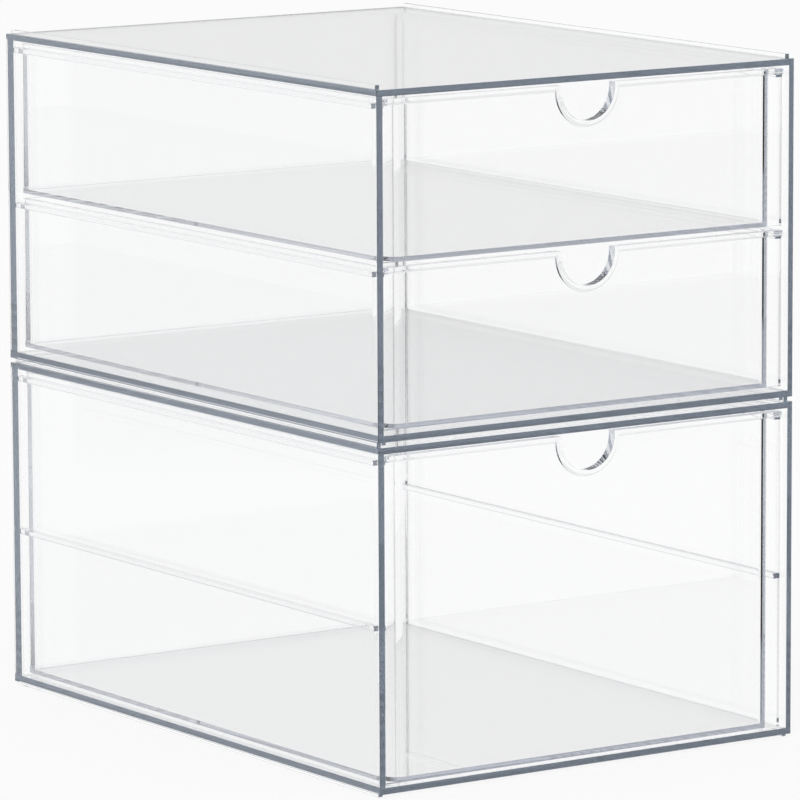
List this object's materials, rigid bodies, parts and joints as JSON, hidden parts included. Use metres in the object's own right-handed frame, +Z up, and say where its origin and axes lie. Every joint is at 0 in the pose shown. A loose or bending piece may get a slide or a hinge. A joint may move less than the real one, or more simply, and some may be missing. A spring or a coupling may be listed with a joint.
{
  "type": "stacking drawer unit",
  "caption": "Clear plastic storage drawers: two equal open-fronted sleeves stacked on edge ribs, short drawers above a tall one, each plate with a half-round finger notch.",
  "frame": {"origin": "middle of the footprint, on the surface that the unit stands on", "axes": "+Z up, drawers open towards -Y, +X to the right of someone facing the unit from behind its back panel and so to the right in a front view"},
  "size_m": [0.188, 0.258, 0.2597],
  "materials": {
    "clear_casing": "clear polished polystyrene",
    "clear_drawer": "clear polished polystyrene"
  },
  "bodies": {
    "lower_unit": {"lower_casing": "clear_casing"},
    "upper_unit": {"upper_casing": "clear_casing"},
    "tall_drawer": {"tall_drawer": "clear_drawer"},
    "middle_drawer": {"middle_drawer": "clear_drawer"},
    "top_drawer": {"top_drawer": "clear_drawer"}
  },
  "joints": [
    {"name": "upper_unit_lift", "type": "slide", "parent": "lower_unit", "child": "upper_unit", "axis": [0, 0, 1], "range_m": [0, 0.05]},
    {"name": "tall_drawer_slide", "type": "slide", "parent": "lower_unit", "child": "tall_drawer", "axis": [0, -1, 0], "range_m": [0, 0.2]},
    {"name": "middle_drawer_slide", "type": "slide", "parent": "upper_unit", "child": "middle_drawer", "axis": [0, -1, 0], "range_m": [0, 0.2]},
    {"name": "top_drawer_slide", "type": "slide", "parent": "upper_unit", "child": "top_drawer", "axis": [0, -1, 0], "range_m": [0, 0.2]}
  ]
}
